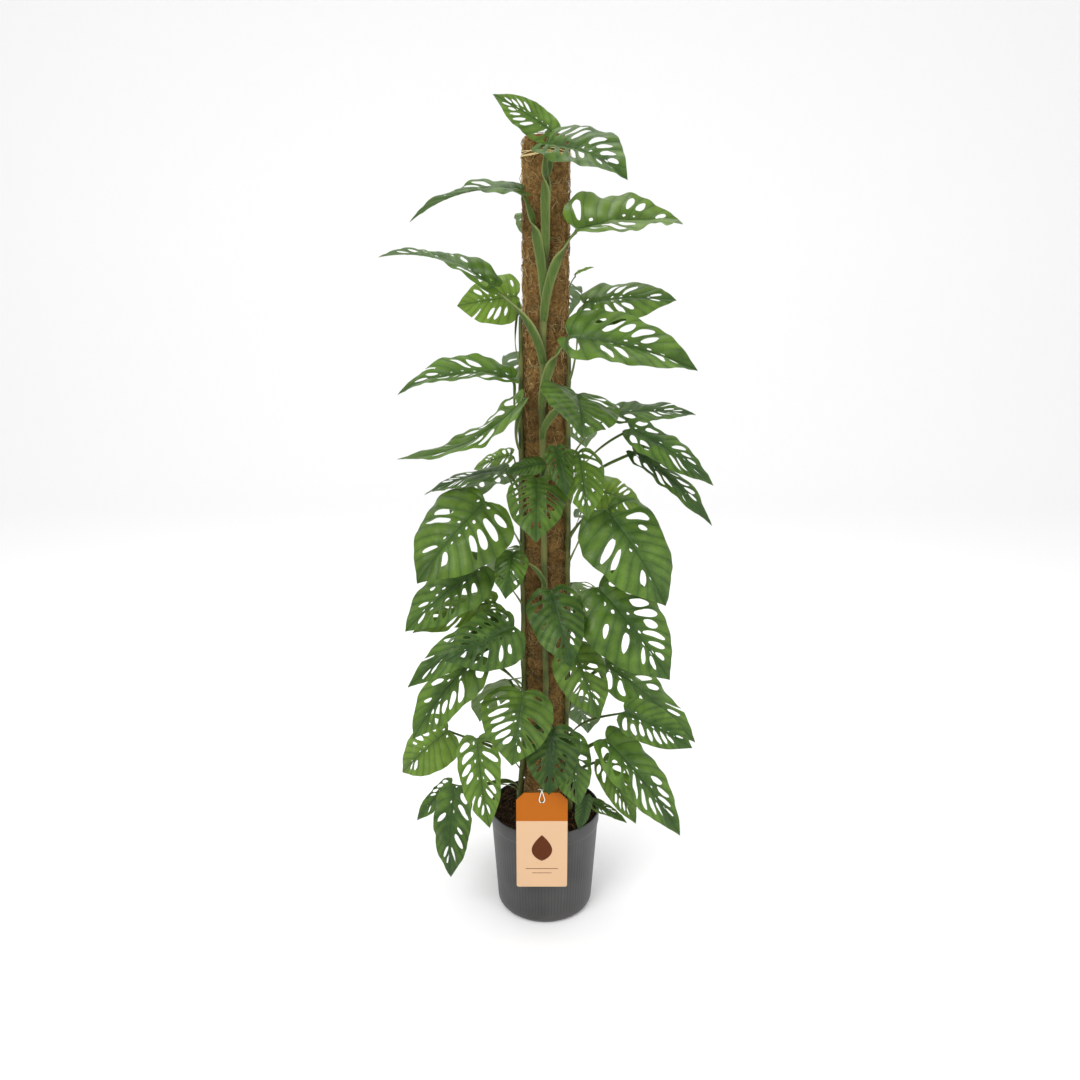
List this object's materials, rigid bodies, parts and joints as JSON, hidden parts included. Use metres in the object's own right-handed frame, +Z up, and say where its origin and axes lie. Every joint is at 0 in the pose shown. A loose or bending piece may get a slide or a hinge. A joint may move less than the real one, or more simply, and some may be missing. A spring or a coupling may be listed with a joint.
{
  "type": "potted monstera adansonii on a coir pole",
  "caption": "Tall climbing house plant with pierced heart-shaped leaves on a coir pole, in a round nursery pot with a hang tag.",
  "frame": {"origin": "middle of the pot's flat underside, on the pole's axis", "axes": "+Z up along the pole; -Y is the front, the side of the hang tag that the picture shows; +X to the viewer's right"},
  "size_m": [0.5656, 0.4706, 1.4616],
  "materials": {
    "pot": "dark grey, satin, finely ribbed",
    "soil": "loose dark potting soil",
    "core": "plain bare wood",
    "coir": "matted coconut fibre",
    "twine": "pale natural twine",
    "foliage": "smooth green leaf, softly glossy",
    "card": "smooth coated card, orange head over cream",
    "thread": "white cotton thread"
  },
  "bodies": {
    "root": {"pot": "pot", "soil": "soil", "pole_core": "core", "coir_wrap": "coir", "pole_tie": "twine", "vine_front": "foliage", "vine_left": "foliage", "vine_right": "foliage", "vine_back_left": "foliage", "vine_back_right": "foliage", "tag": "card", "tag_string": "thread"}
  },
  "joints": []
}
